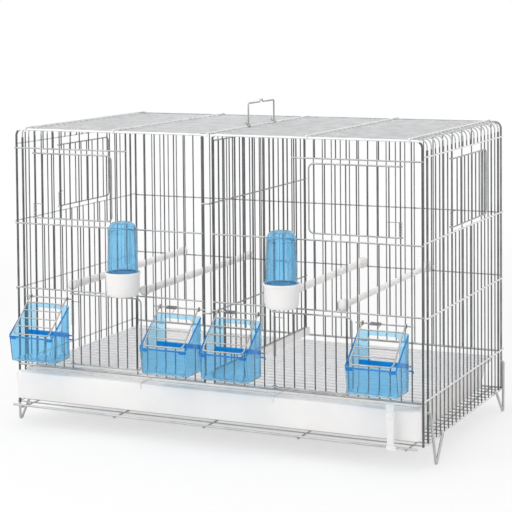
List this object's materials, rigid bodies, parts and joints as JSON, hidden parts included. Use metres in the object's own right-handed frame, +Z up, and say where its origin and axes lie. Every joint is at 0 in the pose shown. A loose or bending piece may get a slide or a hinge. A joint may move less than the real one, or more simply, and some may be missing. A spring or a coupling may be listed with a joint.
{
  "type": "bird breeding cage",
  "caption": "Wire breeding cage for small birds with a drawn divider and tray, sprung doors, outside seed cups under guards, drinkers, perches and a folding handle.",
  "frame": {"origin": "centre of the footprint, at the ground", "axes": "+Z up, -Y out of the front, +X to the right seen from the front"},
  "size_m": [0.6354, 0.4068, 0.464],
  "materials": {
    "blue_plastic": "moulded gloss",
    "grey_plastic": "moulded matt",
    "grille_wire": "smooth coated",
    "guard_wire": "bright plated",
    "plated_wire": "bright plated",
    "spring_steel": "bright plated",
    "white_plastic": "moulded gloss"
  },
  "bodies": {
    "cage": {"back_mesh": "plated_wire", "base_mesh": "plated_wire", "drinker_cup_left": "white_plastic", "drinker_cup_right": "white_plastic", "foot_back_left": "plated_wire", "foot_back_right": "plated_wire", "foot_front_left": "plated_wire", "foot_front_right": "plated_wire", "front_mesh_left": "plated_wire", "front_mesh_right": "plated_wire", "left_side_mesh": "plated_wire", "left_side_top": "plated_wire", "perch_1": "white_plastic", "perch_2": "white_plastic", "perch_3": "white_plastic", "perch_4": "grey_plastic", "right_side_mesh": "plated_wire", "right_side_top": "plated_wire", "roof_bar_1": "plated_wire", "roof_bar_2": "plated_wire", "roof_bar_4": "plated_wire", "roof_bar_5": "plated_wire", "roof_mesh": "plated_wire"},
    "door_upper_left": {"door_upper_left": "plated_wire", "spring_upper_left": "spring_steel"},
    "door_upper_right": {"door_upper_right": "plated_wire", "spring_upper_right": "spring_steel"},
    "door_lower_left": {"door_lower_left": "plated_wire", "spring_lower_left": "spring_steel"},
    "door_lower_right": {"door_lower_right": "plated_wire", "spring_lower_right": "spring_steel"},
    "side_door_left": {"side_door_left": "plated_wire", "spring_side_left": "spring_steel"},
    "side_door_right": {"side_door_right": "plated_wire", "spring_side_right": "spring_steel"},
    "guard_1": {"guard_1": "guard_wire"},
    "feeder_1": {"feeder_1": "blue_plastic"},
    "guard_2": {"guard_2": "guard_wire", "guard_spring_2": "spring_steel"},
    "feeder_2": {"feeder_2": "blue_plastic"},
    "guard_3": {"guard_3": "guard_wire", "guard_spring_3": "spring_steel"},
    "feeder_3": {"feeder_3": "blue_plastic"},
    "guard_4": {"guard_4": "guard_wire", "guard_spring_4": "spring_steel"},
    "feeder_4": {"feeder_4": "blue_plastic"},
    "drinker_tube_left": {"drinker_tube_left": "blue_plastic"},
    "drinker_tube_right": {"drinker_tube_right": "blue_plastic"},
    "divider": {"divider_panel": "plated_wire", "divider_strip": "white_plastic"},
    "tray": {"tray": "white_plastic"},
    "latch": {"tray_latch": "white_plastic"},
    "grille": {"floor_grille": "grille_wire"},
    "handle": {"carry_handle": "plated_wire"}
  },
  "joints": [
    {"name": "door_upper_left_hinge", "type": "hinge", "parent": "cage", "child": "door_upper_left", "pos_m": [-0.2775, -0.14944, 0.34485], "axis": [0, 0, -1], "range_deg": [0, 100], "stiffness_Nm_per_rad": 0.02, "springref_deg": -20.05},
    {"name": "door_upper_right_hinge", "type": "hinge", "parent": "cage", "child": "door_upper_right", "pos_m": [0.2775, -0.14944, 0.34485], "axis": [0, 0, 1], "range_deg": [0, 100], "stiffness_Nm_per_rad": 0.02, "springref_deg": -20.05},
    {"name": "door_lower_left_hinge", "type": "hinge", "parent": "cage", "child": "door_lower_left", "pos_m": [-0.2175, -0.14944, 0.1426], "axis": [0, 0, -1], "range_deg": [0, 76], "stiffness_Nm_per_rad": 0.02, "springref_deg": -20.05},
    {"name": "door_lower_right_hinge", "type": "hinge", "parent": "cage", "child": "door_lower_right", "pos_m": [0.0975, -0.14944, 0.1393], "axis": [0, 0, -1], "range_deg": [0, 95], "stiffness_Nm_per_rad": 0.02, "springref_deg": -20.05},
    {"name": "side_door_left_hinge", "type": "hinge", "parent": "cage", "child": "side_door_left", "pos_m": [-0.30815, -0.03297, 0.34575], "axis": [0, 0, 1], "range_deg": [0, 100], "stiffness_Nm_per_rad": 0.02, "springref_deg": -20.05},
    {"name": "side_door_right_hinge", "type": "hinge", "parent": "cage", "child": "side_door_right", "pos_m": [0.30815, -0.03297, 0.34575], "axis": [0, 0, -1], "range_deg": [0, 100], "stiffness_Nm_per_rad": 0.02, "springref_deg": -20.05},
    {"name": "feeder_1_slide", "type": "slide", "parent": "cage", "child": "feeder_1", "axis": [0, -1, 0], "range_m": [0, 0.041]},
    {"name": "guard_1_hinge", "type": "hinge", "parent": "cage", "child": "guard_1", "pos_m": [-0.255, -0.15119, 0.1846], "axis": [-1, 0, 0], "range_deg": [0, 90.5]},
    {"name": "feeder_2_slide", "type": "slide", "parent": "cage", "child": "feeder_2", "axis": [0, -1, 0], "range_m": [0, 0.041]},
    {"name": "guard_2_hinge", "type": "hinge", "parent": "cage", "child": "guard_2", "pos_m": [-0.045, -0.15119, 0.1846], "axis": [-1, 0, 0], "range_deg": [0, 90.5], "stiffness_Nm_per_rad": 0.01, "springref_deg": -20.05},
    {"name": "feeder_3_slide", "type": "slide", "parent": "cage", "child": "feeder_3", "axis": [0, -1, 0], "range_m": [0, 0.041]},
    {"name": "guard_3_hinge", "type": "hinge", "parent": "cage", "child": "guard_3", "pos_m": [0.045, -0.15119, 0.1846], "axis": [-1, 0, 0], "range_deg": [0, 90.5], "stiffness_Nm_per_rad": 0.01, "springref_deg": -20.05},
    {"name": "feeder_4_slide", "type": "slide", "parent": "cage", "child": "feeder_4", "axis": [0, -1, 0], "range_m": [0, 0.041]},
    {"name": "guard_4_hinge", "type": "hinge", "parent": "cage", "child": "guard_4", "pos_m": [0.255, -0.15119, 0.1846], "axis": [-1, 0, 0], "range_deg": [0, 90.5], "stiffness_Nm_per_rad": 0.01, "springref_deg": -20.05},
    {"name": "drinker_tube_left_lift", "type": "slide", "parent": "cage", "child": "drinker_tube_left", "axis": [0, 0, 1], "range_m": [0, 0.012]},
    {"name": "drinker_tube_right_lift", "type": "slide", "parent": "cage", "child": "drinker_tube_right", "axis": [0, 0, 1], "range_m": [0, 0.012]},
    {"name": "divider_slide", "type": "slide", "parent": "cage", "child": "divider", "axis": [0, -1, 0], "range_m": [0, 0.33]},
    {"name": "tray_slide", "type": "slide", "parent": "cage", "child": "tray", "axis": [0, -1, 0], "range_m": [0, 0.3]},
    {"name": "tray_latch_turn", "type": "hinge", "parent": "tray", "child": "latch", "pos_m": [0.27, -0.17434, 0.0715], "axis": [0, 1, 0], "range_deg": [0, 90]},
    {"name": "floor_grille_slide", "type": "slide", "parent": "cage", "child": "grille", "axis": [0, -1, 0], "range_m": [0, 0.3]},
    {"name": "carry_handle_fold", "type": "hinge", "parent": "cage", "child": "handle", "pos_m": [0, 0.02527, 0.4269], "axis": [0, 1, 0], "range_deg": [-85, 85]}
  ],
  "couplings": [
    {"joint": "guard_1_hinge", "follows": "feeder_1_slide", "rad_per_m": 38.312},
    {"joint": "guard_2_hinge", "follows": "feeder_2_slide", "rad_per_m": 38.312},
    {"joint": "guard_3_hinge", "follows": "feeder_3_slide", "rad_per_m": 38.312},
    {"joint": "guard_4_hinge", "follows": "feeder_4_slide", "rad_per_m": 38.312},
    {"joint": "floor_grille_slide", "follows": "tray_slide", "ratio": 1}
  ]
}
